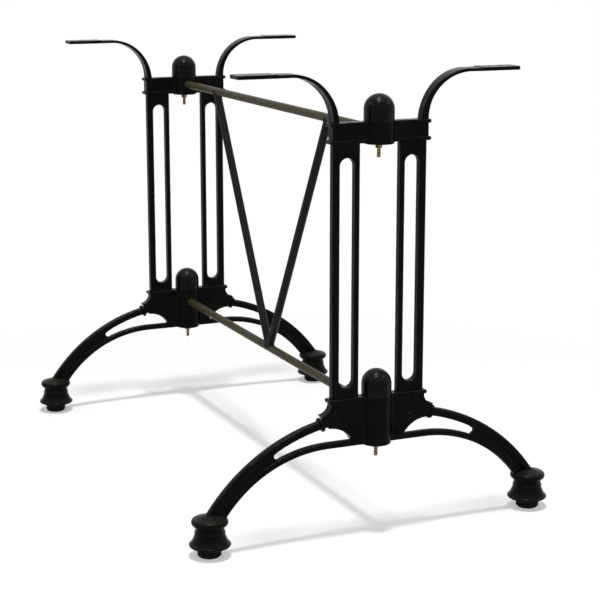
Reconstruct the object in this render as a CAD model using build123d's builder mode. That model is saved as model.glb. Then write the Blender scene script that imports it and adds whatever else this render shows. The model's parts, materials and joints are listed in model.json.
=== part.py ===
"""Twin table base: two cast-iron end frames, clamped at domed hubs and tied by a welded tube stretcher.

Millimetres. X runs along the stretcher, Y across the spread of the legs, Z up from the floor.
Each end frame is a pair of the same leg casting turned to face left and right.
"""
import os
from math import degrees, sqrt

from build123d import *

# Overall layout
height = 720.0                # floor to the flat tops of the arms
frame_spacing = 857.0         # between the hub axes of the two end frames
foot_reach = 278.5            # hub axis to foot axis
arm_reach = 232.5             # hub axis to arm tip

# Hubs: quarter lugs around a stud, under a domed cap
hub_radius = 23.5
lug_gap = 0.3                 # between neighbouring quarter lugs
lug_edge = 1.2                # broken lower edge of a lug
upper_hub_drop = 77.5         # arm tops down to the seat of the upper cap
upper_hub_depth = 31.5
lower_hub_seat = 219.5        # floor to the seat of the lower cap
lower_hub_depth = 76.0
spigot_radius = 15.5          # raised middle of the lugs, held inside the cap
spigot_height = 8.0
spigot_clearance = 0.3
cap_wall_height = 20.0        # straight side of a cap below its dome
cap_clearance = 0.5           # around a cap where it drops into a moulding
cap_edge = 0.8

# Clamping fasteners
stud_diameter = 6.0
stud_edge = 0.8
stud_grip = 14.0              # length of stud held in the cap
stud_below = 20.5             # length of stud below a hub
stud_hole_clearance = 0.6     # radial, through the lugs
thread_clearance = 0.1        # radial, in the cap and the nut
washer_diameter = 12.5
washer_thickness = 1.6
nut_width = 10.0
nut_height = 5.0

# Slotted upright
upright_thickness = 13.0
upright_inner_edge = 33.5     # hub axis to the inner edge
inner_bar = 8.3
slot_width = 24.7
outer_bar = 11.7
slot_top_gap = 21.0           # solid between the slot and the crosshead
slot_bottom_gap = 16.5        # solid between the slot and the bracket
upright_edge = 1.6

# Crosshead and lower bracket: a bar with an end block and half-round bands
bar_thickness = 15.0
bar_height = 32.0
bar_above_seat = 2.6          # top of a bar above the cap seat
bar_root = 14.0               # hub axis to where a bar starts inside its lug
block_thickness = 16.0
block_width = 19.0
block_overhang = 1.6          # block past the outer edge of the upright
band_height = 6.0
band_on_bar = 1.5             # how far the band stands off the bar
band_on_block = 4.0
band_round = 2.4
hub_fillet = 6.0

# Lower bracket over the pierced leg
arch_radius = 46.0
arch_reach = 83.5             # hub axis to the arch centre
arch_height = 131.5
arch_sweep = 62.0
rib_width = 4.0
rib_proud = 2.2               # how far a rib stands off the bracket face
rib_round = 1.2
rib_pitch = 6.5
rib_count = 3
short_rib_start = 22.0        # degrees past the crown of the arch
short_rib_sweep = 42.0
neck_thickness = 15.0
neck_top_drop = 4.0           # top of the bracket down to the start of the neck's hollow
neck_reach = 96.0
neck_height = 198.0
neck_hollow = 4.0             # depth of the hollow curve
collar_length = 22.5
collar_width = 19.0
collar_corner = 8.0
collar_thickness = 6.0
collar_round = 2.4
collar_tilt = 9.0             # degrees steeper than square to the rim
collar_offset = 15.0          # along the upper rim from its root to the collar

# Pierced leg
rim_height = 13.8
rim_thickness = 13.5
rim_round = 4.5
rim_radius = 298.0
rim_root_height = 186.3
low_rim_height = 10.4
low_rim_thickness = 12.0
low_rim_round = 3.8
low_rim_level = 149.0
low_rim_straight = 82.5       # hub axis to the end of its straight run
low_rim_landing = 20.0        # foot axis in to where the lower rim lands
low_rim_drop = 3.3            # top of the flange down to that place
web_lap = 2.8                 # how far the web runs into a rim
web_thickness = 6.0
opening_end = 173.3           # hub axis to the rounded end of the piercing
opening_round = 4.8

# Spool foot and pad
pad_radius = 18.3
pad_height = 16.0
pad_ridges = 5
pad_groove = 0.9              # depth of the grooves between the ridges
pad_groove_width = 1.3
pad_edge = 2.5
pad_stem_radius = 5.0
pad_stem_height = 10.0
pad_stem_clearance = 0.3
bell_radius = 32.0
bell_lip = 2.4                # floor side of the bell's lip, in from its widest
bell_lip_rise = 5.0           # height of the rounded lip
bell_lip_top = 2.3            # upper side of the lip, in from its widest
waist_radius = 22.2
waist_bead = 1.4
waist_bead_height = 4.2
bell_flare = 3.4              # half way up the bell, past the waist
spool_inset = 1.2             # spool axis inside the pad axis
bell_rise = 20.0              # foot casting's underside to the bead on the waist
waist_rise = 32.0             # foot casting's underside to the flange
flange_radius = 28.3
flange_depth = 11.0
flange_slope = 3.0            # flange edge in to the start of the cone above it
cone_rise = 6.5               # flange up to where the leg covers the cone
cone_radius = 5.0

# Arm
arm_foot_width = 17.0
arm_tip_width = 35.0
arm_tip_thickness = 4.8
arm_pad_start = 170.0         # hub axis to where the flat pad begins
arm_pad_rise = 0.8
arm_pad_corner = 3.0
arm_edge = 2.0                # rounded edges of the arm's crown
arm_root_inner = 68.2         # hub axis to the inner side of the arm's root
arm_root_outer = 79.0
arm_knee_reach = 90.7         # where the arm's two bends meet, on its crown side
arm_knee_drop = 25.1          # arm tops down to that place
arm_knee_thickness = 6.3
arm_bend_reach = 147.7        # hub axis to where the bend ends
screw_hole = 6.5
screw_inset = 24.0            # arm tip in to the screw hole

# Stretcher
tube_diameter = 14.0
tube_wall = 2.0
tube_seat = 10.0              # depth of a rail in its lug
tube_clearance = 0.15
top_rail_drop = 89.0          # arm tops down to the top rail's axis
bottom_rail_level = 197.3
brace_spread = 248.0          # middle of the stretcher to a brace's top, on the top rail's axis
weld_gap = 0.2                # root gap at the coped tube ends

# Derived levels and places
upper_seat = height - upper_hub_drop
upper_hub_bottom = upper_seat - upper_hub_depth
lower_hub_bottom = lower_hub_seat - lower_hub_depth
bar_top = upper_seat + bar_above_seat
bar_bottom = bar_top - bar_height
bracket_top = lower_hub_seat + bar_above_seat
slot_inner_edge = upright_inner_edge + inner_bar
slot_outer_edge = slot_inner_edge + slot_width
upright_outer_edge = slot_outer_edge + outer_bar
block_outer = upright_outer_edge + block_overhang
block_inner = block_outer - block_width
stud_hole_radius = stud_diameter / 2 + stud_hole_clearance
thread_radius = stud_diameter / 2 + thread_clearance
tube_radius = tube_diameter / 2
top_rail_level = height - top_rail_drop
frame_x = frame_spacing / 2
hub_levels = {"upper": (upper_hub_bottom, upper_seat), "lower": (lower_hub_bottom, lower_hub_seat)}
rail_levels = {"upper": top_rail_level, "lower": bottom_rail_level}


def lug_face(radius):
    """Quarter of a disc facing +Y, short of its neighbours by half the gap and bored for the stud."""
    apex = lug_gap / sqrt(2)
    with BuildSketch() as section:
        with BuildLine():
            Polyline((0, apex), (2 * radius, apex + 2 * radius), (-2 * radius, apex + 2 * radius), close=True)
        make_face()
        Circle(radius, mode=Mode.INTERSECT)
        Circle(stud_hole_radius, mode=Mode.SUBTRACT)
    return section.sketch


def quarter_lug(bottom, seat):
    """Quarter lug facing +Y, with the raised middle that the cap holds."""
    with BuildPart() as lug:
        with BuildSketch(Plane.XY.offset(bottom)):
            add(lug_face(hub_radius))
        extrude(amount=seat - bottom)
        rim = lug.edges().filter_by(GeomType.CIRCLE).group_by(Axis.Z)[0].sort_by(SortBy.RADIUS)[-1]
        chamfer(rim, lug_edge)
        with BuildSketch(Plane.XY.offset(seat)):
            add(lug_face(spigot_radius))
        extrude(amount=spigot_height)
    return lug.part


def hub_blend(bottom, top, seat):
    """Bar rooted in a lug with a hollow fillet on each side, cut away around the cap."""
    with BuildPart() as root:
        with BuildSketch(Plane.XY.offset(bottom)) as plan:
            add(lug_face(hub_radius))
            with Locations((0, bar_root)):
                Rectangle(bar_thickness, block_inner - bar_root, align=(Align.CENTER, Align.MIN))
            fillet(plan.vertices().sort_by(Axis.Y)[-4:-2], hub_fillet)
        extrude(amount=top - bottom)
        with Locations((0, 0, seat)):
            Cylinder(hub_radius + cap_clearance, top, align=(Align.CENTER, Align.CENTER, Align.MIN),
                     mode=Mode.SUBTRACT)
    return root.part


def band(bottom, wide, low, high, corner):
    """Half-round band around a bar or its end block, between two reaches."""
    with BuildPart() as moulding:
        with BuildSketch(Plane.XY.offset(bottom)):
            with Locations((0, (low + high) / 2)):
                RectangleRounded(wide, high - low, corner)
        extrude(amount=band_height)
        fillet(moulding.faces().filter_by(Axis.Z).edges(), band_round)
    return moulding.part


def moulded_bar(bottom, top, seat, band_levels):
    """Bar from a hub to its end block, with its bands, clear of the cap."""
    with BuildPart() as bar:
        with Locations((0, block_inner, bottom)):
            Box(block_thickness, block_width, top - bottom, align=(Align.CENTER, Align.MIN, Align.MIN))
        add(hub_blend(bottom, top, seat))
        for level in band_levels:
            add(band(level, bar_thickness + 2 * band_on_bar, bar_root, block_inner, band_on_bar))
            add(band(level, block_thickness + 2 * band_on_block, block_inner - band_on_block,
                     block_outer + band_on_block, band_on_block))
        with Locations((0, 0, seat)):
            Cylinder(hub_radius + cap_clearance, top, align=(Align.CENTER, Align.CENTER, Align.MIN),
                     mode=Mode.SUBTRACT)
    return bar.part


def upright():
    """Flat upright with one long slot and softened edges."""
    slot_low = bracket_top + slot_bottom_gap
    slot_high = bar_bottom - slot_top_gap
    with BuildPart() as post:
        with BuildSketch(Plane.YZ):
            with Locations((upright_inner_edge, bracket_top - band_round)):
                Rectangle(upright_outer_edge - upright_inner_edge, bar_bottom - bracket_top + 2 * band_round,
                          align=(Align.MIN, Align.MIN))
            with Locations(((slot_inner_edge + slot_outer_edge) / 2, (slot_low + slot_high) / 2)):
                SlotOverall(slot_high - slot_low, slot_width, rotation=90, mode=Mode.SUBTRACT)
        extrude(amount=upright_thickness / 2, both=True)
        faces = post.faces().filter_by(Axis.X)
        chamfer(faces.edges().filter_by(Axis.Y, reverse=True), upright_edge)
    return post.part


def arm():
    """Arm that rises from the end block, bends outwards and flattens to a pad for the table top."""
    crown_level = height - arm_pad_rise
    under_level = crown_level - arm_tip_thickness
    crown_root = (arm_root_inner, bar_top - band_round)
    under_root = (arm_root_outer, bar_top - band_round)
    crown_knee = (arm_knee_reach, height - arm_knee_drop)
    with BuildPart() as bent:
        with BuildSketch(Plane.YZ):
            with BuildLine():
                crown = TangentArc((arm_bend_reach, crown_level), crown_knee, tangent=(-1, 0))
                TangentArc(crown_knee, crown_root, tangent=crown % 1)
                Line(crown_root, under_root)
                across = (crown % 1).rotate(Axis.Z, 90)
                under_knee = Vector(*crown_knee) + across * arm_knee_thickness
                under = TangentArc((arm_bend_reach, under_level), under_knee, tangent=(-1, 0))
                TangentArc(under_knee, under_root, tangent=under % 1)
                Polyline((arm_bend_reach, under_level), (arm_pad_start, under_level),
                         (arm_pad_start, crown_level), (arm_bend_reach, crown_level))
            make_face()
        extrude(amount=arm_tip_width, both=True)
        with BuildSketch(Plane.XY.offset(bar_bottom)):
            with BuildLine():
                Polyline((arm_foot_width / 2, arm_root_inner), (arm_tip_width / 2, arm_pad_start),
                         (-arm_tip_width / 2, arm_pad_start), (-arm_foot_width / 2, arm_root_inner),
                         close=True)
            make_face()
        extrude(amount=height, mode=Mode.INTERSECT)
        bends = bent.faces().filter_by(GeomType.CYLINDER).filter_by(lambda face: face.normal_at().Y < 0)
        fillet(bends.edges().filter_by(Axis.X, reverse=True), arm_edge)
        with BuildSketch(Plane.XY.offset(under_level)) as pad_plan:
            with Locations((0, arm_pad_start)):
                Rectangle(arm_tip_width, arm_reach - arm_pad_start, align=(Align.CENTER, Align.MIN))
            fillet(pad_plan.vertices().sort_by(Axis.Y)[-2:], arm_pad_corner)
        extrude(amount=height - under_level)
        with Locations((0, arm_reach - screw_inset, height)):
            Hole(screw_hole / 2)
    return bent.part


def spool_foot():
    """Turned foot: bell with a rounded lip, beaded waist, flange and a shallow cone up to the leg."""
    lip_start = (bell_radius - bell_lip, foot_base)
    lip_end = (bell_radius - bell_lip_top, foot_base + bell_lip_rise)
    bead_low = (waist_radius + waist_bead / 2, foot_base + bell_rise)
    bead_high = (waist_radius, bead_low[1] + waist_bead_height)
    waist_top = (waist_radius, flange_level)
    flange_end = (flange_radius - flange_slope, flange_level + flange_depth)
    cone_top = (cone_radius, flange_end[1] + cone_rise)
    with BuildPart() as foot:
        with BuildSketch(Plane.XZ):
            with BuildLine():
                Polyline((0, cone_top[1]), (0, foot_base), lip_start)
                ThreePointArc(lip_start, (bell_radius, foot_base + bell_lip), lip_end)
                ThreePointArc(lip_end, (waist_radius + bell_flare, (lip_end[1] + bead_low[1]) / 2), bead_low)
                ThreePointArc(bead_low, (waist_radius + waist_bead, (bead_low[1] + bead_high[1]) / 2),
                              bead_high)
                Line(bead_high, waist_top)
                ThreePointArc(waist_top, (flange_radius, flange_level + flange_depth / 2), flange_end)
                Polyline(flange_end, cone_top, (0, cone_top[1]))
            make_face()
        revolve(axis=Axis.Z)
        with Locations((0, spool_inset, foot_base)):
            Cylinder(pad_stem_radius + pad_stem_clearance, pad_stem_height + pad_stem_clearance,
                     align=(Align.CENTER, Align.CENTER, Align.MIN), mode=Mode.SUBTRACT)
    return foot.part


def rim_run(arc, wide, deep, round_off):
    """Rounded rim turned along an arc that bends down and outwards."""
    with BuildPart() as rim:
        with BuildSketch(Plane(arc @ 0, x_dir=(1, 0, 0), z_dir=arc % 0)):
            RectangleRounded(wide, deep, round_off)
        revolve(axis=Axis(arc.arc_center, (-1, 0, 0)), revolution_arc=degrees(arc.length / arc.radius))
    return rim.part


def rim_level_at(arc, reach):
    """Level of a rim's middle line at a given reach."""
    centre = arc.arc_center
    return centre.Z + sqrt(arc.radius**2 - (reach - centre.Y) ** 2)


def collar(arc, along):
    """Rounded ring around a rim, part of the way along it."""
    square = Plane(arc @ along, x_dir=(1, 0, 0), z_dir=arc % along)
    with BuildPart() as ring:
        with BuildSketch(square.rotated((-collar_tilt, 0, 0))):
            RectangleRounded(collar_width, collar_length, collar_corner)
        extrude(amount=collar_thickness / 2, both=True)
        fillet(ring.faces().sort_by(SortBy.AREA)[-2:].edges(), collar_round)
    return ring.part


def arch_rib(radius, start, sweep_angle):
    """Rounded rib around the arch, through the bracket and proud of both its faces."""
    axis = Axis((0, arch_reach, arch_height), (1, 0, 0))
    with BuildPart() as rib:
        with BuildSketch(Plane.XZ.offset(-arch_reach)):
            with Locations((0, arch_height + radius)):
                RectangleRounded(bar_thickness + 2 * rib_proud, rib_width, rib_round)
        revolve(axis=axis, revolution_arc=sweep_angle)
    return rib.part.rotate(axis, start)


# Middle lines of the two rims of the leg
foot_base = pad_height
flange_level = foot_base + waist_rise
flange_top = flange_level + flange_depth
rim_end = (foot_reach, flange_top)
low_rim_end = (foot_reach - low_rim_landing, flange_top - low_rim_drop)
with BuildLine(Plane.YZ):
    upper_arc = RadiusArc((block_outer, rim_root_height), rim_end, rim_radius)
    low_run = Line((bar_root, low_rim_level), (low_rim_straight, low_rim_level))
    low_arc = TangentArc((low_rim_straight, low_rim_level), low_rim_end, tangent=(1, 0))

# Leg casting, facing +Y
with BuildPart() as casting:
    # Lower bracket, cut to the arch, with the hollow neck down to the leg
    add(moulded_bar(low_rim_level, bracket_top, lower_hub_seat, [bracket_top - band_height]))
    with BuildSketch(Plane.YZ):
        with Locations((arch_reach, arch_height)):
            Circle(arch_radius)
    extrude(amount=block_thickness, both=True, mode=Mode.SUBTRACT)
    with BuildSketch(Plane.YZ):
        with BuildLine():
            hollow_top = (block_outer, bracket_top - neck_top_drop)
            hollow_end = (neck_reach, neck_height)
            hollow_mid = ((hollow_top[0] + hollow_end[0]) / 2 - neck_hollow,
                          (hollow_top[1] + hollow_end[1]) / 2 - neck_hollow)
            ThreePointArc(hollow_top, hollow_mid, hollow_end)
            Polyline(hollow_end, (arch_reach, arch_height + arch_radius),
                     (block_inner, hollow_top[1]), hollow_top)
        make_face()
    extrude(amount=neck_thickness / 2, both=True)
    for index in range(rib_count):
        start, sweep_angle = (short_rib_start, short_rib_sweep) if index else (0, arch_sweep)
        add(arch_rib(arch_radius + rib_width / 2 + index * rib_pitch, start, sweep_angle))

    # Foot, rims and the thin web between them up to the rounded end of the piercing
    with Locations((0, foot_reach - spool_inset, 0)):
        add(spool_foot())
    add(rim_run(upper_arc, rim_thickness, rim_height, rim_round))
    add(rim_run(low_arc, low_rim_thickness, low_rim_height, low_rim_round))
    with BuildSketch(Plane(low_run @ 0, x_dir=(1, 0, 0), z_dir=low_run % 0)):
        RectangleRounded(low_rim_thickness, low_rim_height, low_rim_round)
    extrude(amount=low_run.length)
    end_centre = opening_end - opening_round
    end_level = (rim_level_at(upper_arc, end_centre) + rim_level_at(low_arc, end_centre)
                 - rim_height / 2 + low_rim_height / 2) / 2
    with BuildSketch(Plane.YZ):
        with Locations((end_centre, flange_level + flange_depth / 2)):
            Rectangle(foot_reach - end_centre, height, align=(Align.MIN, Align.MIN))
        with Locations((upper_arc.arc_center.Y, upper_arc.arc_center.Z)):
            Circle(upper_arc.radius - rim_height / 2 + web_lap, mode=Mode.INTERSECT)
        with Locations((low_arc.arc_center.Y, low_arc.arc_center.Z)):
            Circle(low_arc.radius + low_rim_height / 2 - web_lap, mode=Mode.SUBTRACT)
        with Locations((end_centre, end_level)):
            Circle(opening_round, mode=Mode.SUBTRACT)
    extrude(amount=web_thickness / 2, both=True)

    # Collar around the root of the upper rim
    add(collar(upper_arc, collar_offset / upper_arc.length))

    # Upright, crosshead, arm and the two lugs
    add(upright())
    add(moulded_bar(bar_bottom, bar_top, upper_seat, [bar_bottom, bar_top - band_height]))
    add(arm())
    for bottom, seat in hub_levels.values():
        add(quarter_lug(bottom, seat))

# Domed cap, seat at Z = 0
recess_radius = spigot_radius + spigot_clearance
recess_depth = spigot_height + spigot_clearance
with BuildPart() as dome:
    with BuildSketch(Plane.XZ):
        with BuildLine():
            hole_end = recess_depth + stud_grip
            Polyline((0, hole_end), (thread_radius, hole_end), (thread_radius, recess_depth),
                     (recess_radius, recess_depth), (recess_radius, 0), (hub_radius - cap_edge, 0),
                     (hub_radius, cap_edge), (hub_radius, cap_wall_height))
            RadiusArc((hub_radius, cap_wall_height), (0, cap_wall_height + hub_radius), -hub_radius)
            Line((0, cap_wall_height + hub_radius), (0, hole_end))
        make_face()
    revolve(axis=Axis.Z)

# Foot pad with ridged sides and the stem that holds it in the foot
with BuildPart() as glide:
    ridge = (pad_height - pad_edge) / pad_ridges
    with BuildSketch(Plane.XZ):
        with BuildLine():
            sides = [(pad_radius, pad_edge)]
            for index in range(pad_ridges):
                level = pad_edge + index * ridge
                sides += [(pad_radius, level + ridge - pad_groove_width),
                          (pad_radius - pad_groove, level + ridge - pad_groove_width / 2),
                          (pad_radius, level + ridge)]
            Polyline((0, 0), (pad_radius - pad_edge, 0), *sides, (pad_stem_radius, pad_height),
                     (pad_stem_radius, pad_height + pad_stem_height), (0, pad_height + pad_stem_height),
                     close=True)
        make_face()
    revolve(axis=Axis.Z)

os.makedirs("parts", exist_ok=True)
ends = {"front": frame_x, "rear": -frame_x}

# Leg castings and foot pads, two to an end
for end, x in ends.items():
    for side, turn in {"right": 0, "left": 180}.items():
        with BuildPart() as leg:
            with Locations(Location((x, 0, 0), (0, 0, turn))):
                add(casting.part)
        leg.part.label = f"{end}_{side}_leg"
        export_step(leg.part, f"parts/{leg.part.label}.step")
        with BuildPart() as pad:
            with Locations(Location((x, 0, 0), (0, 0, turn))):
                with Locations((0, foot_reach, 0)):
                    add(glide.part)
        pad.part.label = f"{end}_{side}_pad"
        export_step(pad.part, f"parts/{pad.part.label}.step")

# Hub pieces: cap, stud, washer, nut, the blank lug that faces out and the rail lug that faces in
for end, x in ends.items():
    outward = -90 if x > 0 else 90
    for level, (bottom, seat) in hub_levels.items():
        with BuildPart() as cap:
            with Locations((x, 0, seat)):
                add(dome.part)
        with BuildPart() as stud:
            with BuildSketch(Plane.XY.offset(bottom - stud_below)):
                with Locations((x, 0)):
                    Circle(stud_diameter / 2)
            extrude(amount=seat + recess_depth + stud_grip - bottom + stud_below)
            chamfer(stud.edges().filter_by(GeomType.CIRCLE), stud_edge)
        with BuildPart() as washer:
            with BuildSketch(Plane.XY.offset(bottom - washer_thickness)):
                with Locations((x, 0)):
                    Circle(washer_diameter / 2)
                    Circle(stud_hole_radius, mode=Mode.SUBTRACT)
            extrude(amount=washer_thickness)
        with BuildPart() as nut:
            with BuildSketch(Plane.XY.offset(bottom - washer_thickness - nut_height)):
                with Locations((x, 0)):
                    RegularPolygon(nut_width / 2, 6, major_radius=False)
                    Circle(thread_radius, mode=Mode.SUBTRACT)
            extrude(amount=nut_height)
        with BuildPart() as blank_lug:
            with Locations(Location((x, 0, 0), (0, 0, outward))):
                add(quarter_lug(bottom, seat))
        with BuildPart() as rail_lug:
            with Locations(Location((x, 0, 0), (0, 0, outward + 180))):
                add(quarter_lug(bottom, seat))
                with Locations(Location((0, hub_radius - tube_seat, rail_levels[level]), (-90, 0, 0))):
                    Cylinder(tube_radius + tube_clearance, hub_radius,
                             align=(Align.CENTER, Align.CENTER, Align.MIN), mode=Mode.SUBTRACT)
        pieces = {"cap": cap, "stud": stud, "washer": washer, "nut": nut, "blank_lug": blank_lug,
                  "rail_lug": rail_lug}
        for kind, piece in pieces.items():
            piece.part.label = f"{end}_{level}_{kind}"
            export_step(piece.part, f"parts/{piece.part.label}.step")

# Stretcher rails, seated in their lugs
for name, level in {"top_rail": top_rail_level, "bottom_rail": bottom_rail_level}.items():
    with BuildPart() as rail:
        with BuildSketch(Plane.YZ):
            with Locations((0, level)):
                Circle(tube_radius)
                Circle(tube_radius - tube_wall, mode=Mode.SUBTRACT)
        extrude(amount=frame_x - hub_radius + tube_seat, both=True)
    rail.part.label = name
    export_step(rail.part, f"parts/{name}.step")

# Braces of the V, coped to the rails and to each other
for end, direction in {"front": 1, "rear": -1}.items():
    rise = Vector(direction * brace_spread, 0, top_rail_level - bottom_rail_level)
    with BuildPart() as brace:
        with BuildSketch(Plane((0, 0, bottom_rail_level), x_dir=(0, 1, 0), z_dir=rise)):
            Circle(tube_radius)
            Circle(tube_radius - tube_wall, mode=Mode.SUBTRACT)
        extrude(amount=rise.length)
        for level in rail_levels.values():
            with Locations(Location((0, 0, level), (0, 90, 0))):
                Cylinder(tube_radius + weld_gap, frame_spacing, mode=Mode.SUBTRACT)
        split(bisect_by=Plane((direction * weld_gap / 2, 0, 0), z_dir=(direction, 0, 0)), keep=Keep.TOP)
    brace.part.label = f"{end}_brace"
    export_step(brace.part, f"parts/{brace.part.label}.step")
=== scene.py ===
"""Finishes and small pieces for a cast-iron twin table base.

The packed solids keep their shapes and get painted, plated and rubber finishes. Threaded studs, chamfered nuts
and weld beads are made here. Everything is in metres, in the frame of the packed model.
"""
import json
import math

import bmesh
import bpy
from mathutils import Matrix, Vector

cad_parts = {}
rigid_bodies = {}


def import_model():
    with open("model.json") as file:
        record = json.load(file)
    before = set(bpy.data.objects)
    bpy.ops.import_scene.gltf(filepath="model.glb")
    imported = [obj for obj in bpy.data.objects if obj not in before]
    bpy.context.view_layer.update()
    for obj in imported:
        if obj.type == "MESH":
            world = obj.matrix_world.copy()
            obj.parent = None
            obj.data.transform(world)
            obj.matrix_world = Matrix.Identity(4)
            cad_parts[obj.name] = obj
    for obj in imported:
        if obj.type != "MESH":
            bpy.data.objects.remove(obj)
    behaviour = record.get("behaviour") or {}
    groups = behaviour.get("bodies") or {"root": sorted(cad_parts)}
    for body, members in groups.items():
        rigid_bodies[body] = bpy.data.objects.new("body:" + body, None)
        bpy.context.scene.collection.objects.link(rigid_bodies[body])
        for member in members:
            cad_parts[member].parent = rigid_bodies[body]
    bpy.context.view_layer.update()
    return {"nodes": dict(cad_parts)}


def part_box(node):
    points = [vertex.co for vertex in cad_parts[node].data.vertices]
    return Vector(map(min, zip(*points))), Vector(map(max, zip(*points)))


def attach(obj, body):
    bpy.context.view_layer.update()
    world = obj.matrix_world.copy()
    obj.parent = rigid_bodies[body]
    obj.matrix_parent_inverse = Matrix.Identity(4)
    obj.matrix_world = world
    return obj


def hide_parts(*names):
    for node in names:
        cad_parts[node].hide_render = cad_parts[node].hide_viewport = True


bl_info = {
    "name": "Twin table base",
    "version": (1, 0, 0),
    "blender": (4, 5, 0),
    "location": "View3D > Sidebar > Table base",
    "description": "Dresses a cast-iron twin table base and sets its studio stage",
    "category": "Object",
}

for leftover in list(bpy.data.objects):
    bpy.data.objects.remove(leftover)
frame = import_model()

ENDS = ("front", "rear")
LEVELS = ("upper", "lower")
SIDES = ("right", "left")
RAILS = ("top_rail", "bottom_rail")
BRACES = ("front_brace", "rear_brace")
LEGS = [f"{end}_{side}_leg" for end in ENDS for side in SIDES]
PADS = [f"{end}_{side}_pad" for end in ENDS for side in SIDES]
HUBS = [f"{end}_{level}" for end in ENDS for level in LEVELS]

# Widths of the patches and the grain in the finishes, and the grain's depth, in metres.
PAINT_PATCH = 0.03
PAINT_DULL_PATCH = 0.011
# Patch width of the fine dust and painted sheen that lighten faces looking up.
DUST_AND_SHEEN_PATCH = 0.012
TUBE_PATCH = 0.02
TUBE_DULL_PATCH = 0.006
TUBE_GRAIN = 0.0012
TUBE_GRAIN_DEPTH = 0.00004
PLATING_PATCH = 0.004
PLATING_DULL_PATCH = 0.002
PLATING_GRAIN = 0.0006
PLATING_GRAIN_DEPTH = 0.00003
RUBBER_PATCH = 0.008
RUBBER_DULL_PATCH = 0.003
RUBBER_GRAIN = 0.0009
RUBBER_GRAIN_DEPTH = 0.00006

# Fine dust and a painted sheen from the overhead light start on faces whose normal rises this much, are full at the
# second value, and lie thinnest at the third.
DUST_AND_SHEEN_START = 0.25
DUST_AND_SHEEN_FULL = 0.95
DUST_AND_SHEEN_THINNEST = 0.55

# How much lighter the light patches are than the dark ones.
TUBE_LIGHTER = 1.3
RUBBER_LIGHTER = 1.8

# How far roughness goes below and above its set value.
TUBE_DULLER = 0.08
TUBE_SMOOTHER = 0.06
PLATING_DULLER = 0.12
PLATING_SMOOTHER = 0.1
RUBBER_DULLER = 0.1
RUBBER_SMOOTHER = 0.08

# How finely the small pieces are divided.
ROD_SIDES = 32
HELIX_STEPS = 24
RIDGE_SIDES = 6
RIPPLE_SIDES = 12
RIPPLE_RINGS = 8
JOINT_STEPS = 72
SEAM_STEPS = 24
NUT_STEPS = 72

# Shares of a small piece's own size.
RIDGE_SHARE = 0.92          # thread ridge, of the thread's depth
RIPPLE_SQUASH = 0.62        # weld ripple's length, of its width
NUT_FACE_SHARE = 0.96       # flat ring of a nut's face, of half its width
NUT_HOLE_SHARE = 0.58       # nut's hole, of half its width

# Floor and camera values that have no need to change.
FLOOR_ROUGHNESS = 0.9
FLOOR_SHINE = 0.1
SENSOR_WIDTH = 36.0         # millimetres
VIEW_REACH = 200.0          # metres

AXIS_TRIES = 8              # steps to find a brace's axis
UP = Vector((0, 0, 1))


def middle(node):
    """Middle of a node's box."""
    low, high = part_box(node)
    return (low + high) / 2


class CastingFinish(bpy.types.PropertyGroup):
    """Black paint on the castings."""

    colour: bpy.props.FloatVectorProperty(
        name="Paint", description="Colour of the paint", subtype="COLOR", size=3, min=0, max=1,
        default=(0.0010, 0.0010, 0.0010))
    thin_colour: bpy.props.FloatVectorProperty(
        name="Thin paint", description="Colour where the paint lies thin", subtype="COLOR", size=3, min=0, max=1,
        default=(0.0024, 0.0023, 0.0020))
    gloss_low: bpy.props.FloatProperty(
        name="Smooth", description="Roughness of the glossiest paint", subtype="FACTOR", min=0, max=1, default=0.21)
    gloss_high: bpy.props.FloatProperty(
        name="Dull", description="Roughness of the dullest paint", subtype="FACTOR", min=0, max=1, default=0.31)
    shine: bpy.props.FloatProperty(
        name="Shine", description="Strength of the paint's reflections", subtype="FACTOR", min=0, max=1,
        default=0.045)
    cap_shine: bpy.props.FloatProperty(
        name="Cap shine", description="Strength of reflections on the smoother caps", subtype="FACTOR", min=0, max=1,
        default=0.08)
    # Colour of faces that look up: part fine dust, part a painted sheen standing in for the light from above.
    dust_and_sheen_colour: bpy.props.FloatVectorProperty(
        name="Dust", description="Colour of the fine dust on faces that look up", subtype="COLOR", size=3, min=0,
        max=1, default=(0.015, 0.0142, 0.0115))
    sand_grain: bpy.props.FloatProperty(
        name="Sand grain", description="Size of the casting's grain", unit="LENGTH", min=0.0005, default=0.0022)
    sand_depth: bpy.props.FloatProperty(
        name="Grain depth", description="Depth of the casting's grain", unit="LENGTH", min=0, default=0.00016)
    ripple: bpy.props.FloatProperty(
        name="Ripple", description="Width of the slow waves in a cast face", unit="LENGTH", min=0.002, default=0.018)
    ripple_depth: bpy.props.FloatProperty(
        name="Ripple depth", description="Depth of those waves", unit="LENGTH", min=0, default=0.0005)


class StretcherFinish(bpy.types.PropertyGroup):
    """Paint on the tubes of the stretcher, and the welds between them."""

    colour: bpy.props.FloatVectorProperty(
        name="Rail paint", description="Colour of the rails", subtype="COLOR", size=3, min=0, max=1,
        default=(0.034, 0.030, 0.015))
    brace_colour: bpy.props.FloatVectorProperty(
        name="Brace paint", description="Colour of the braces", subtype="COLOR", size=3, min=0, max=1,
        default=(0.010, 0.009, 0.007))
    gloss: bpy.props.FloatProperty(
        name="Gloss", description="Roughness of the tube paint", subtype="FACTOR", min=0, max=1, default=0.4)
    shine: bpy.props.FloatProperty(
        name="Shine", description="Strength of the paint's reflections", subtype="FACTOR", min=0, max=1, default=0.06)
    weld_radius: bpy.props.FloatProperty(
        name="Weld", description="Radius of a weld bead", unit="LENGTH", min=0.0005, default=0.0017)
    weld_step: bpy.props.FloatProperty(
        name="Weld step", description="Distance between a weld's ripples", unit="LENGTH", min=0.0003, default=0.0011)


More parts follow.
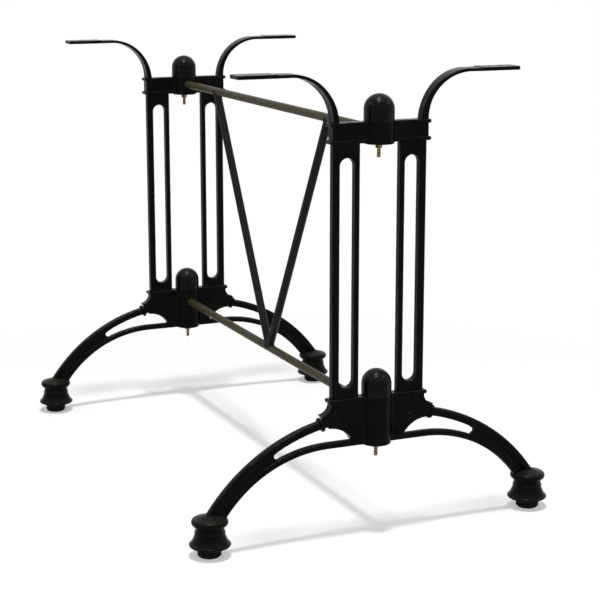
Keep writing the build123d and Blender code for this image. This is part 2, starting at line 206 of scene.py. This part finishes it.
class FastenerFinish(bpy.types.PropertyGroup):
    """Golden studs, nuts and washers."""

    colour: bpy.props.FloatVectorProperty(
        name="Plating", description="Colour of the plating", subtype="COLOR", size=3, min=0, max=1,
        default=(0.27, 0.165, 0.058))
    deep_colour: bpy.props.FloatVectorProperty(
        name="Deep plating", description="Colour where the plating is dark", subtype="COLOR", size=3, min=0, max=1,
        default=(0.13, 0.075, 0.025))
    gloss: bpy.props.FloatProperty(
        name="Gloss", description="Roughness of the plating", subtype="FACTOR", min=0, max=1, default=0.33)
    pitch: bpy.props.FloatProperty(
        name="Pitch", description="Distance between the threads of a stud", unit="LENGTH", min=0.0003, default=0.001)
    thread_depth: bpy.props.FloatProperty(
        name="Thread depth", description="Depth of a stud's thread", unit="LENGTH", min=0.0001, default=0.00055)
    thread_length: bpy.props.FloatProperty(
        name="Thread length", description="Threaded length at a stud's lower end", unit="LENGTH", min=0.005,
        default=0.026)
    nut_chamfer: bpy.props.FloatProperty(
        name="Nut chamfer", description="Slope of a nut's chamfer", subtype="ANGLE", default=math.radians(30))


class PadFinish(bpy.types.PropertyGroup):
    """Rubber foot pads."""

    colour: bpy.props.FloatVectorProperty(
        name="Rubber", description="Colour of the pads", subtype="COLOR", size=3, min=0, max=1,
        default=(0.003, 0.003, 0.0029))
    gloss: bpy.props.FloatProperty(
        name="Gloss", description="Roughness of the pads", subtype="FACTOR", min=0, max=1, default=0.55)
    shine: bpy.props.FloatProperty(
        name="Shine", description="Strength of the rubber's reflections", subtype="FACTOR", min=0, max=1,
        default=0.06)


class StageSettings(bpy.types.PropertyGroup):
    """Floor, light and camera."""

    floor_colour: bpy.props.FloatVectorProperty(
        name="Floor", description="Colour of the floor", subtype="COLOR", size=3, min=0, max=1,
        default=(0.95, 0.95, 0.95))
    floor_size: bpy.props.FloatProperty(
        name="Floor size", description="Side of the floor", unit="LENGTH", default=60.0)
    fade_start: bpy.props.FloatProperty(
        name="Fade start", description="Where the floor starts to fade into the backdrop", unit="LENGTH",
        default=0.56)
    fade_end: bpy.props.FloatProperty(
        name="Fade end", description="Where the floor is as white as the backdrop", unit="LENGTH", default=1.15)
    sky: bpy.props.FloatProperty(name="Sky", description="Strength of the even light", min=0, default=0.28)
    top: bpy.props.FloatProperty(name="Top", description="Power of the overhead lamp in watts", min=0, default=277.0)
    top_lean: bpy.props.FloatProperty(
        name="Top lean", description="Overhead lamp's lean towards the camera", subtype="ANGLE",
        default=math.radians(6))
    top_size: bpy.props.FloatProperty(
        name="Top size", description="Side of the overhead lamp", unit="LENGTH", min=0.01, default=0.8)
    front: bpy.props.FloatProperty(name="Front", description="Power of the front lamp in watts", min=0, default=228.0)
    front_lean: bpy.props.FloatProperty(
        name="Front lean", description="Front lamp's lean towards the camera", subtype="ANGLE",
        default=math.radians(23))
    front_size: bpy.props.FloatProperty(
        name="Front size", description="Side of the front lamp", unit="LENGTH", min=0.01, default=0.4)
    lamp_height: bpy.props.FloatProperty(
        name="Lamp height", description="Distance of the overhead and front lamps", unit="LENGTH", min=1, default=8.0)
    rim: bpy.props.FloatProperty(name="Rim", description="Power of each side lamp in watts", min=0, default=4.0)
    rim_size: bpy.props.FloatProperty(
        name="Rim size", description="Side of each side lamp", unit="LENGTH", min=0.01, default=0.3)
    rim_place: bpy.props.FloatVectorProperty(
        name="Rim place", description="Side lamp's place to the side, towards the camera and up from the target",
        subtype="TRANSLATION", unit="LENGTH", size=3, default=(1.9, 0.9, 1.5))
    azimuth: bpy.props.FloatProperty(
        name="Azimuth", description="Camera's turn around the base", subtype="ANGLE", default=math.radians(66.24))
    elevation: bpy.props.FloatProperty(
        name="Elevation", description="Camera's height as an angle", subtype="ANGLE", default=math.radians(12.5))
    distance: bpy.props.FloatProperty(name="Distance", description="Camera to target", unit="LENGTH", default=2.92082)
    target_side: bpy.props.FloatProperty(
        name="Target side", description="Target's place to the right of the middle", unit="LENGTH", default=0.05456)
    target_height: bpy.props.FloatProperty(
        name="Target height", description="Target's height", unit="LENGTH", default=0.28375)
    lens: bpy.props.FloatProperty(name="Lens", description="Focal length in millimetres", default=98.87)


GROUPS = {
    "casting_finish": CastingFinish,
    "stretcher_finish": StretcherFinish,
    "fastener_finish": FastenerFinish,
    "pad_finish": PadFinish,
    "stage_settings": StageSettings,
}


class Finish:
    """A material under construction, with short ways to add and join its nodes."""

    def __init__(self, name):
        self.material = bpy.data.materials.new(name)
        self.material.use_nodes = True
        self.tree = self.material.node_tree
        self.shader = self.tree.nodes["Principled BSDF"]
        self.place = self.tree.nodes.new("ShaderNodeTexCoord").outputs["Object"]

    def join(self, source, target):
        """Links an output to an input."""
        self.tree.links.new(source, target)

    def noise(self, size, detail=3.0, roughness=0.55):
        """Noise whose blobs are about that wide, in metres."""
        node = self.tree.nodes.new("ShaderNodeTexNoise")
        node.inputs["Scale"].default_value = 1 / size
        node.inputs["Detail"].default_value = detail
        node.inputs["Roughness"].default_value = roughness
        self.join(self.place, node.inputs["Vector"])
        return node.outputs["Fac"]

    def spread(self, value, low, high, start=0.35, end=0.65):
        """A noise value taken to a range of numbers."""
        node = self.tree.nodes.new("ShaderNodeMapRange")
        for name, number in (("From Min", start), ("From Max", end), ("To Min", low), ("To Max", high)):
            node.inputs[name].default_value = number
        self.join(value, node.inputs["Value"])
        return node.outputs["Result"]

    def colours(self, value, first, second, start=0.35, end=0.65):
        """A noise value taken to a blend of two colours."""
        node = self.tree.nodes.new("ShaderNodeValToRGB")
        node.color_ramp.elements[0].position = start
        node.color_ramp.elements[0].color = (*first, 1)
        node.color_ramp.elements[1].position = end
        node.color_ramp.elements[1].color = (*second, 1)
        self.join(value, node.inputs["Fac"])
        return node.outputs["Color"]

    def facing_up(self, start, end):
        """Zero on steep faces, rising to one on faces that look up."""
        split = self.tree.nodes.new("ShaderNodeSeparateXYZ")
        self.join(self.tree.nodes.new("ShaderNodeNewGeometry").outputs["Normal"], split.inputs["Vector"])
        return self.spread(split.outputs["Z"], 0, 1, start, end)

    def times(self, first, second):
        """Product of two values."""
        node = self.tree.nodes.new("ShaderNodeMath")
        node.operation = "MULTIPLY"
        self.join(first, node.inputs[0])
        self.join(second, node.inputs[1])
        return node.outputs[0]

    def mixed(self, value, first, second):
        """Blend of a colour socket and a plain colour."""
        node = self.tree.nodes.new("ShaderNodeMix")
        node.data_type = "RGBA"
        factor, first_in, second_in = (node.inputs[i] for i in (0, 6, 7))
        self.join(value, factor)
        self.join(first, first_in)
        second_in.default_value = (*second, 1)
        return node.outputs[2]

    def bump(self, height, depth, under=None):
        """A bump of a given depth in metres, over an earlier one."""
        node = self.tree.nodes.new("ShaderNodeBump")
        node.inputs["Strength"].default_value = 1.0
        node.inputs["Distance"].default_value = depth
        self.join(height, node.inputs["Height"])
        if under:
            self.join(under, node.inputs["Normal"])
        return node.outputs["Normal"]


def casting_paint(name, shine, settings):
    """Semi-gloss black paint over a sand-cast surface."""
    paint = Finish(name)
    coat = paint.colours(paint.noise(PAINT_PATCH), settings.colour, settings.thin_colour)
    # Faces that look up are lightened towards the dust colour: part fine dust, part a painted sheen for the overhead
    # light.
    dust_and_sheen = paint.times(paint.facing_up(DUST_AND_SHEEN_START, DUST_AND_SHEEN_FULL),
                       paint.spread(paint.noise(DUST_AND_SHEEN_PATCH), DUST_AND_SHEEN_THINNEST, 1.0))
    paint.join(paint.mixed(dust_and_sheen, coat, settings.dust_and_sheen_colour), paint.shader.inputs["Base Color"])
    paint.join(paint.spread(paint.noise(PAINT_DULL_PATCH), settings.gloss_low, settings.gloss_high),
               paint.shader.inputs["Roughness"])
    waves = paint.bump(paint.noise(settings.ripple, detail=1.0), settings.ripple_depth)
    paint.join(paint.bump(paint.noise(settings.sand_grain), settings.sand_depth, waves),
               paint.shader.inputs["Normal"])
    paint.shader.inputs["Specular IOR Level"].default_value = shine
    return paint.material


def tube_paint(name, colour, settings):
    """Satin paint on drawn tube, with faint handling marks."""
    paint = Finish(name)
    lighter = [min(1.0, part * TUBE_LIGHTER) for part in colour]
    paint.join(paint.colours(paint.noise(TUBE_PATCH), colour, lighter), paint.shader.inputs["Base Color"])
    paint.join(paint.spread(paint.noise(TUBE_DULL_PATCH), settings.gloss - TUBE_SMOOTHER,
                            settings.gloss + TUBE_DULLER), paint.shader.inputs["Roughness"])
    paint.join(paint.bump(paint.noise(TUBE_GRAIN), TUBE_GRAIN_DEPTH), paint.shader.inputs["Normal"])
    paint.shader.inputs["Specular IOR Level"].default_value = settings.shine
    return paint.material


def golden_plating(settings):
    """Golden passivated plating, patchy and lightly scratched."""
    plating = Finish("golden_plating")
    plating.join(plating.colours(plating.noise(PLATING_PATCH), settings.deep_colour, settings.colour),
                 plating.shader.inputs["Base Color"])
    plating.join(plating.spread(plating.noise(PLATING_DULL_PATCH), settings.gloss - PLATING_SMOOTHER,
                                settings.gloss + PLATING_DULLER), plating.shader.inputs["Roughness"])
    plating.join(plating.bump(plating.noise(PLATING_GRAIN), PLATING_GRAIN_DEPTH), plating.shader.inputs["Normal"])
    plating.shader.inputs["Metallic"].default_value = 1.0
    return plating.material


def pad_rubber(settings):
    """Dull moulded rubber."""
    rubber = Finish("pad_rubber")
    dusty = [part * RUBBER_LIGHTER for part in settings.colour]
    rubber.join(rubber.colours(rubber.noise(RUBBER_PATCH), settings.colour, dusty),
                rubber.shader.inputs["Base Color"])
    rubber.join(rubber.spread(rubber.noise(RUBBER_DULL_PATCH), settings.gloss - RUBBER_SMOOTHER,
                              settings.gloss + RUBBER_DULLER), rubber.shader.inputs["Roughness"])
    rubber.join(rubber.bump(rubber.noise(RUBBER_GRAIN), RUBBER_GRAIN_DEPTH), rubber.shader.inputs["Normal"])
    rubber.shader.inputs["Specular IOR Level"].default_value = settings.shine
    return rubber.material


def paint_nodes(nodes, material):
    """Gives packed nodes a finish."""
    for node in nodes:
        slots = frame["nodes"][node].data.materials
        slots.clear()
        slots.append(material)


def new_piece(name, mesh):
    """Links a mesh into the scene as an object at the origin."""
    piece = bpy.data.objects.new(name, mesh)
    bpy.context.scene.collection.objects.link(piece)
    return piece


def hold(piece, slot, *nodes):
    """Fixes a piece to the base and hides the nodes it stands for; the slot argument is not used."""
    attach(piece, "root")
    if nodes:
        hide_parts(*nodes)


def node_tree(name, inputs):
    """Empty Geometry Nodes tree with named inputs, ending in a mesh."""
    tree = bpy.data.node_groups.new(name, "GeometryNodeTree")
    tree.interface.new_socket("Geometry", in_out="INPUT", socket_type="NodeSocketGeometry")
    for label, kind in inputs.items():
        tree.interface.new_socket(label, in_out="INPUT", socket_type=f"NodeSocket{kind}")
    tree.interface.new_socket("Geometry", in_out="OUTPUT", socket_type="NodeSocketGeometry")
    return tree, tree.nodes.new("NodeGroupInput").outputs, tree.nodes.new("NodeGroupOutput").inputs["Geometry"]


def baked(name, source, tree, values):
    """Runs a tree on an object with the given input values and keeps the result as a plain mesh."""
    holder = new_piece(name + "_source", source)
    modifier = holder.modifiers.new(tree.name, "NODES")
    modifier.node_group = tree
    for item in tree.interface.items_tree:
        if item.in_out == "INPUT" and item.name in values:
            modifier[item.identifier] = values[item.name]
    bpy.context.view_layer.update()
    result = bpy.data.meshes.new_from_object(holder.evaluated_get(bpy.context.evaluated_depsgraph_get()))
    holder.modifiers.remove(modifier)
    bpy.data.objects.remove(holder)
    result.name = name
    return new_piece(name, result)


def thread_tree():
    """Stud: a threaded lower end made from a helix on a core, under a plain shank."""
    tree, given, out = node_tree("stud_thread", {
        "Radius": "Float", "Depth": "Float", "Pitch": "Float", "Threaded": "Float", "Length": "Float",
        "Foot": "Vector", "Finish": "Material"})
    nodes, link = tree.nodes, tree.links.new

    def math_node(operation, first, second):
        """Sum, product or the like of two sockets or numbers."""
        node = nodes.new("ShaderNodeMath")
        node.operation = operation
        for socket, value in zip(node.inputs, (first, second)):
            if isinstance(value, (int, float)):
                socket.default_value = value
            else:
                link(value, socket)
        return node.outputs[0]

    def rod(radius, length, base):
        """Cylinder of a given length, standing on a given height."""
        cylinder = nodes.new("GeometryNodeMeshCylinder")
        cylinder.inputs["Vertices"].default_value = ROD_SIDES
        link(radius, cylinder.inputs["Radius"])
        link(length, cylinder.inputs["Depth"])
        place = nodes.new("GeometryNodeTransform")
        lift = nodes.new("ShaderNodeCombineXYZ")
        link(math_node("ADD", math_node("MULTIPLY", length, 0.5), base), lift.inputs["Z"])
        link(cylinder.outputs["Mesh"], place.inputs["Geometry"])
        link(lift.outputs["Vector"], place.inputs["Translation"])
        return place.outputs["Geometry"]

    core = math_node("SUBTRACT", given["Radius"], given["Depth"])
    helix = nodes.new("GeometryNodeCurveSpiral")
    helix.inputs["Resolution"].default_value = HELIX_STEPS
    turns = math_node("DIVIDE", given["Threaded"], given["Pitch"])
    link(turns, helix.inputs["Rotations"])
    link(core, helix.inputs["Start Radius"])
    link(core, helix.inputs["End Radius"])
    link(given["Threaded"], helix.inputs["Height"])
    ridge = nodes.new("GeometryNodeCurvePrimitiveCircle")
    ridge.inputs["Resolution"].default_value = RIDGE_SIDES
    link(math_node("MULTIPLY", given["Depth"], RIDGE_SHARE), ridge.inputs["Radius"])
    swept = nodes.new("GeometryNodeCurveToMesh")
    swept.inputs["Fill Caps"].default_value = True
    link(helix.outputs["Curve"], swept.inputs["Curve"])
    link(ridge.outputs["Curve"], swept.inputs["Profile Curve"])
    whole = nodes.new("GeometryNodeJoinGeometry")
    shank = math_node("SUBTRACT", given["Length"], given["Threaded"])
    link(swept.outputs["Mesh"], whole.inputs["Geometry"])
    link(rod(core, given["Threaded"], 0.0), whole.inputs["Geometry"])
    link(rod(given["Radius"], shank, given["Threaded"]), whole.inputs["Geometry"])
    place = nodes.new("GeometryNodeTransform")
    link(whole.outputs["Geometry"], place.inputs["Geometry"])
    link(given["Foot"], place.inputs["Translation"])
    smooth = nodes.new("GeometryNodeSetShadeSmooth")
    smooth.inputs["Shade Smooth"].default_value = False
    link(place.outputs["Geometry"], smooth.inputs["Geometry"])
    real = nodes.new("GeometryNodeRealizeInstances")
    link(smooth.outputs["Geometry"], real.inputs["Geometry"])
    finish = nodes.new("GeometryNodeSetMaterial")
    link(real.outputs["Geometry"], finish.inputs["Geometry"])
    link(given["Finish"], finish.inputs["Material"])
    link(finish.outputs["Geometry"], out)
    return tree


def weld_tree():
    """Weld bead: flattened ripples strung along a path."""
    tree, given, out = node_tree("weld_bead", {"Radius": "Float", "Step": "Float", "Finish": "Material"})
    nodes, link = tree.nodes, tree.links.new
    path = nodes.new("GeometryNodeMeshToCurve")
    points = nodes.new("GeometryNodeCurveToPoints")
    points.mode = "LENGTH"
    link(given["Geometry"], path.inputs["Mesh"])
    link(path.outputs["Curve"], points.inputs["Curve"])
    link(given["Step"], points.inputs["Length"])
    ripple = nodes.new("GeometryNodeMeshUVSphere")
    ripple.inputs["Segments"].default_value = RIPPLE_SIDES
    ripple.inputs["Rings"].default_value = RIPPLE_RINGS
    link(given["Radius"], ripple.inputs["Radius"])
    rounded = nodes.new("GeometryNodeSetShadeSmooth")
    link(ripple.outputs["Mesh"], rounded.inputs["Geometry"])
    string = nodes.new("GeometryNodeInstanceOnPoints")
    string.inputs["Scale"].default_value = (1.0, 1.0, RIPPLE_SQUASH)
    link(points.outputs["Points"], string.inputs["Points"])
    link(rounded.outputs["Geometry"], string.inputs["Instance"])
    link(points.outputs["Rotation"], string.inputs["Rotation"])
    real = nodes.new("GeometryNodeRealizeInstances")
    link(string.outputs["Instances"], real.inputs["Geometry"])
    finish = nodes.new("GeometryNodeSetMaterial")
    link(real.outputs["Geometry"], finish.inputs["Geometry"])
    link(given["Finish"], finish.inputs["Material"])
    link(finish.outputs["Geometry"], out)
    return tree


def path_mesh(name, paths):
    """Mesh of edges along open or closed runs of points."""
    mesh = bpy.data.meshes.new(name)
    points, edges = [], []
    for run, closed in paths:
        first = len(points)
        points += run
        edges += [(first + i, first + i + 1) for i in range(len(run) - 1)]
        if closed:
            edges.append((first + len(run) - 1, first))
    mesh.from_pydata(points, edges, [])
    return mesh


def tube_radius():
    """Outer radius of the stretcher's tubes."""
    low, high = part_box("top_rail")
    return (high.y - low.y) / 2


def brace_line(node):
    """Foot and direction of a brace's axis, and the direction across it in the plane of the stretcher."""
    low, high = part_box(node)
    sign = 1 if high.x > -low.x else -1
    foot = Vector((0, 0, middle("bottom_rail").z))
    rise = middle("top_rail").z - foot.z
    outer = high.x if sign > 0 else -low.x
    radius = tube_radius()
    # The box ends at the tube's side, so the axis is found by a few steps that settle quickly.
    reach = outer
    for _ in range(AXIS_TRIES):
        slope = math.atan2(rise, reach)
        reach = outer - radius * (1 - math.cos(slope)) / math.sin(slope)
    along = Vector((sign * reach, 0, rise)).normalized()
    across = Vector((along.z, 0, -along.x)) * sign
    return foot, along, across


def brace_joint(node, rail):
    """Points where a brace meets a rail, around the brace."""
    foot, along, across = brace_line(node)
    level = middle(rail).z
    start = foot + along * ((level - foot.z) / along.z)
    radius = tube_radius()
    side = 1 if rail == "bottom_rail" else -1
    points = []
    for step in range(JOINT_STEPS):
        turn = 2 * math.pi * step / JOINT_STEPS
        offset = across * (radius * math.cos(turn)) + Vector((0, radius * math.sin(turn), 0))
        run = (side * radius * abs(math.cos(turn)) - offset.z) / along.z
        points.append(start + along * run + offset)
    return points


class OBJECT_OT_table_castings(bpy.types.Operator):
    """Paints the leg castings, hub lugs and caps."""

    bl_idname = "object.table_castings"
    bl_label = "Castings"

    def execute(self, context):
        settings = context.scene.casting_finish
        lugs = [f"{hub}_{kind}" for hub in HUBS for kind in ("blank_lug", "rail_lug")]
        paint_nodes(LEGS + lugs, casting_paint("casting_paint", settings.shine, settings))
        paint_nodes([f"{hub}_cap" for hub in HUBS], casting_paint("cap_paint", settings.cap_shine, settings))
        return {"FINISHED"}


class OBJECT_OT_table_stretcher(bpy.types.Operator):
    """Paints the rails and braces."""

    bl_idname = "object.table_stretcher"
    bl_label = "Stretcher tubes"

    def execute(self, context):
        settings = context.scene.stretcher_finish
        paint_nodes(RAILS, tube_paint("rail_paint", settings.colour, settings))
        paint_nodes(BRACES, tube_paint("brace_paint", settings.brace_colour, settings))
        return {"FINISHED"}


class OBJECT_OT_table_welds(bpy.types.Operator):
    """Makes the weld beads where the braces meet the rails and each other."""

    bl_idname = "object.table_welds"
    bl_label = "Welds"

    def execute(self, context):
        settings = context.scene.stretcher_finish
        tree = weld_tree()
        paint = bpy.data.materials["brace_paint"]
        paths = [(brace_joint(node, "top_rail"), True) for node in BRACES]
        for node in BRACES:
            sign = 1 if brace_line(node)[1].x > 0 else -1
            joint = brace_joint(node, "bottom_rail")
            joint = joint[len(joint) // 2:] + joint[:len(joint) // 2]
            paths.append(([point for point in joint if point.x * sign >= 0], False))
        foot, along, across = brace_line(BRACES[0])
        radius = tube_radius()
        seam = []
        for step in range(SEAM_STEPS + 1):
            turn = math.pi * (0.5 + step / SEAM_STEPS)
            offset = across * (radius * math.cos(turn)) + Vector((0, radius * math.sin(turn), 0))
            seam.append(foot + offset - along * (offset.x / along.x))
        paths.append((seam, False))
        welds = baked("stretcher_welds", path_mesh("weld_paths", paths), tree, {
            "Radius": settings.weld_radius, "Step": settings.weld_step, "Finish": paint})
        hold(welds, "stretcher_tube")
        return {"FINISHED"}


class OBJECT_OT_table_studs(bpy.types.Operator):
    """Makes the threaded studs and finishes the washers."""

    bl_idname = "object.table_studs"
    bl_label = "Studs and washers"

    def execute(self, context):
        settings = context.scene.fastener_finish
        plating = golden_plating(settings)
        paint_nodes([f"{hub}_washer" for hub in HUBS], plating)
        tree = thread_tree()
        for hub in HUBS:
            low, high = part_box(f"{hub}_stud")
            centre = (low + high) / 2
            axis = [(centre.x, centre.y, low.z), (centre.x, centre.y, high.z)]
            seed = path_mesh(f"{hub}_stud_axis", [(axis, False)])
            stud = baked(f"{hub}_threaded_stud", seed, tree, {
                "Radius": (high.x - low.x) / 2, "Depth": settings.thread_depth, "Pitch": settings.pitch,
                "Threaded": settings.thread_length, "Length": high.z - low.z,
                "Foot": (centre.x, centre.y, low.z), "Finish": plating})
            hold(stud, "golden_fastener", f"{hub}_stud")
        return {"FINISHED"}


class OBJECT_OT_table_nuts(bpy.types.Operator):
    """Makes the hexagon nuts, chamfered on both faces."""

    bl_idname = "object.table_nuts"
    bl_label = "Nuts"

    def execute(self, context):
        settings = context.scene.fastener_finish
        for hub in HUBS:
            name = f"{hub}_hexagon_nut"
            nut = new_piece(name, self.nut_mesh(name, *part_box(f"{hub}_nut"), settings))
            nut.data.materials.append(bpy.data.materials["golden_plating"])
            hold(nut, "golden_fastener", f"{hub}_nut")
        return {"FINISHED"}

    def nut_mesh(self, name, low, high, settings):
        """Nut whose corners are turned down to a cone at both faces."""
        centre = (low + high) / 2
        flat = (high.y - low.y) / 2
        face = flat * NUT_FACE_SHARE
        hole = flat * NUT_HOLE_SHARE
        shape = bmesh.new()
        rings = []
        for step in range(NUT_STEPS):
            turn = 2 * math.pi * step / NUT_STEPS
            corner = (turn + math.pi / 2) % (math.pi / 3) - math.pi / 6
            radius = flat / math.cos(corner)
            drop = max(0.0, radius - face) * math.tan(settings.nut_chamfer)
            profile = [(hole, low.z), (face, low.z), (radius, low.z + drop), (radius, high.z - drop), (face, high.z),
                       (hole, high.z)]
            rings.append([shape.verts.new((centre.x + r * math.cos(turn), centre.y + r * math.sin(turn), z))
                          for r, z in profile])
        for ring, following in zip(rings, rings[1:] + rings[:1]):
            for i in range(len(ring)):
                j = (i + 1) % len(ring)
                shape.faces.new((ring[i], following[i], following[j], ring[j]))
        bmesh.ops.recalc_face_normals(shape, faces=shape.faces)
        mesh = bpy.data.meshes.new(name)
        shape.to_mesh(mesh)
        shape.free()
        return mesh


class OBJECT_OT_table_pads(bpy.types.Operator):
    """Finishes the rubber foot pads."""

    bl_idname = "object.table_pads"
    bl_label = "Foot pads"

    def execute(self, context):
        paint_nodes(PADS, pad_rubber(context.scene.pad_finish))
        return {"FINISHED"}


class OBJECT_OT_table_stage(bpy.types.Operator):
    """Sets the floor, the light and the camera."""

    bl_idname = "object.table_stage"
    bl_label = "Stage"

    def execute(self, context):
        settings = context.scene.stage_settings
        context.scene.view_settings.view_transform = "Standard"
        self.floor(settings)
        self.sky(context, settings)
        back = Vector((math.sin(settings.azimuth) * math.cos(settings.elevation),
                       -math.cos(settings.azimuth) * math.cos(settings.elevation), math.sin(settings.elevation)))
        right = Vector((math.cos(settings.azimuth), math.sin(settings.azimuth), 0))
        up = back.cross(right)
        target = Vector((0, 0, settings.target_height)) + right * settings.target_side
        self.camera(context, settings, target, right, up, back)
        # Only the overhead lamp casts a shadow, so the floor shows one narrow strip under each piece.
        forward = right.cross(UP)
        for name, power, lean, size, shadow in (
                ("top_lamp", settings.top, settings.top_lean, settings.top_size, True),
                ("front_lamp", settings.front, settings.front_lean, settings.front_size, False)):
            overhead = forward * math.sin(lean) + UP * math.cos(lean)
            self.lamp(context, name, power, size, Vector(), overhead * settings.lamp_height, right, shadow)
        aside, near, raised = settings.rim_place
        for name, side in (("left_lamp", -1), ("right_lamp", 1)):
            offset = right * side * aside + back * near + up * raised
            self.lamp(context, name, settings.rim, settings.rim_size, target, offset, right, False)
        return {"FINISHED"}

    def floor(self, settings):
        """Plain pale floor."""
        half = settings.floor_size / 2
        mesh = bpy.data.meshes.new("floor")
        corners = [(-half, -half, 0), (half, -half, 0), (half, half, 0), (-half, half, 0)]
        mesh.from_pydata(corners, [], [range(len(corners))])
        floor = new_piece("floor", mesh)
        pale = Finish("floor_paper")
        pale.shader.inputs["Base Color"].default_value = (*settings.floor_colour, 1)
        pale.shader.inputs["Roughness"].default_value = FLOOR_ROUGHNESS
        pale.shader.inputs["Specular IOR Level"].default_value = FLOOR_SHINE
        self.fade(pale, settings)
        mesh.materials.append(pale.material)

    def fade(self, pale, settings):
        """Shows the far floor as white as the backdrop, to the camera and in reflections."""
        nodes, join = pale.tree.nodes, pale.join
        reach = nodes.new("ShaderNodeVectorMath")
        reach.operation = "LENGTH"
        join(pale.place, reach.inputs[0])
        far = pale.spread(reach.outputs["Value"], 0, 1, settings.fade_start, settings.fade_end)
        white = nodes.new("ShaderNodeEmission")
        mix = nodes.new("ShaderNodeMixShader")
        join(pale.times(far, self.seen_rays(nodes, join)), mix.inputs["Fac"])
        join(pale.shader.outputs["BSDF"], mix.inputs[1])
        join(white.outputs["Emission"], mix.inputs[2])
        join(mix.outputs["Shader"], nodes["Material Output"].inputs["Surface"])

    def seen_rays(self, nodes, join):
        """One for the camera and for what reflections and glass show, and zero for other rays."""
        rays = nodes.new("ShaderNodeLightPath")
        seen = rays.outputs["Is Camera Ray"]
        for kind in ("Is Glossy Ray", "Is Transmission Ray"):
            either = nodes.new("ShaderNodeMath")
            either.operation = "MAXIMUM"
            join(seen, either.inputs[0])
            join(rays.outputs[kind], either.inputs[1])
            seen = either.outputs[0]
        return seen

    def sky(self, context, settings):
        """Even light, white where the camera or a reflection sees it."""
        world = bpy.data.worlds.new("studio")
        world.use_nodes = True
        context.scene.world = world
        nodes, link = world.node_tree.nodes, world.node_tree.links.new
        light = nodes["Background"]
        light.inputs["Color"].default_value = (1, 1, 1, 1)
        light.inputs["Strength"].default_value = settings.sky
        backdrop = nodes.new("ShaderNodeBackground")
        backdrop.inputs["Color"].default_value = (1, 1, 1, 1)
        backdrop.inputs["Strength"].default_value = 1.0
        mix = nodes.new("ShaderNodeMixShader")
        link(self.seen_rays(nodes, link), mix.inputs["Fac"])
        link(light.outputs["Background"], mix.inputs[1])
        link(backdrop.outputs["Background"], mix.inputs[2])
        link(mix.outputs["Shader"], nodes["World Output"].inputs["Surface"])

    def camera(self, context, settings, target, right, up, back):
        """Camera at the photograph's place and angle."""
        lens = bpy.data.cameras.new("camera")
        lens.lens = settings.lens
        lens.sensor_width = SENSOR_WIDTH
        lens.clip_end = VIEW_REACH
        camera = bpy.data.objects.new("camera", lens)
        place = Matrix((right, up, back)).transposed().to_4x4()
        place.translation = target + back * settings.distance
        camera.matrix_world = place
        context.scene.collection.objects.link(camera)
        context.scene.camera = camera

    def lamp(self, context, name, power, size, target, offset, level, shadow):
        """Soft square lamp that faces the target, with two sides along a level direction."""
        data = bpy.data.lights.new(name, "AREA")
        data.shape = "SQUARE"
        data.energy = power
        data.size = size
        data.use_shadow = shadow
        lamp = bpy.data.objects.new(name, data)
        out = offset.normalized()
        across = (level - out * level.dot(out)).normalized()
        place = Matrix((across, out.cross(across), out)).transposed().to_4x4()
        place.translation = target + offset
        lamp.matrix_world = place
        context.scene.collection.objects.link(lamp)


OPERATORS = (
    OBJECT_OT_table_castings,
    OBJECT_OT_table_stretcher,
    OBJECT_OT_table_welds,
    OBJECT_OT_table_studs,
    OBJECT_OT_table_nuts,
    OBJECT_OT_table_pads,
    OBJECT_OT_table_stage,
)


class VIEW3D_PT_table_base(bpy.types.Panel):
    """Lists the steps that dress the table base."""

    bl_idname = "VIEW3D_PT_table_base"
    bl_label = "Twin table base"
    bl_space_type = "VIEW_3D"
    bl_region_type = "UI"
    bl_category = "Table base"

    def draw(self, context):
        for operator in OPERATORS:
            self.layout.operator(operator.bl_idname)
        for name, group in GROUPS.items():
            column = self.layout.column(align=True)
            column.label(text=group.__doc__)
            for field in group.__annotations__:
                column.prop(getattr(context.scene, name), field)


def register():
    """Registers the settings, the steps and the panel."""
    for group in GROUPS.values():
        bpy.utils.register_class(group)
    for name, group in GROUPS.items():
        setattr(bpy.types.Scene, name, bpy.props.PointerProperty(type=group))
    for operator in OPERATORS:
        bpy.utils.register_class(operator)
    bpy.utils.register_class(VIEW3D_PT_table_base)


def unregister():
    """Takes them out again."""
    bpy.utils.unregister_class(VIEW3D_PT_table_base)
    for operator in reversed(OPERATORS):
        bpy.utils.unregister_class(operator)
    for name, group in GROUPS.items():
        delattr(bpy.types.Scene, name)
        bpy.utils.unregister_class(group)


def main():
    """Dresses the base."""
    register()
    bpy.ops.object.table_castings()
    bpy.ops.object.table_stretcher()
    bpy.ops.object.table_welds()
    bpy.ops.object.table_studs()
    bpy.ops.object.table_nuts()
    bpy.ops.object.table_pads()
    bpy.ops.object.table_stage()


if __name__ == "__main__":
    main()
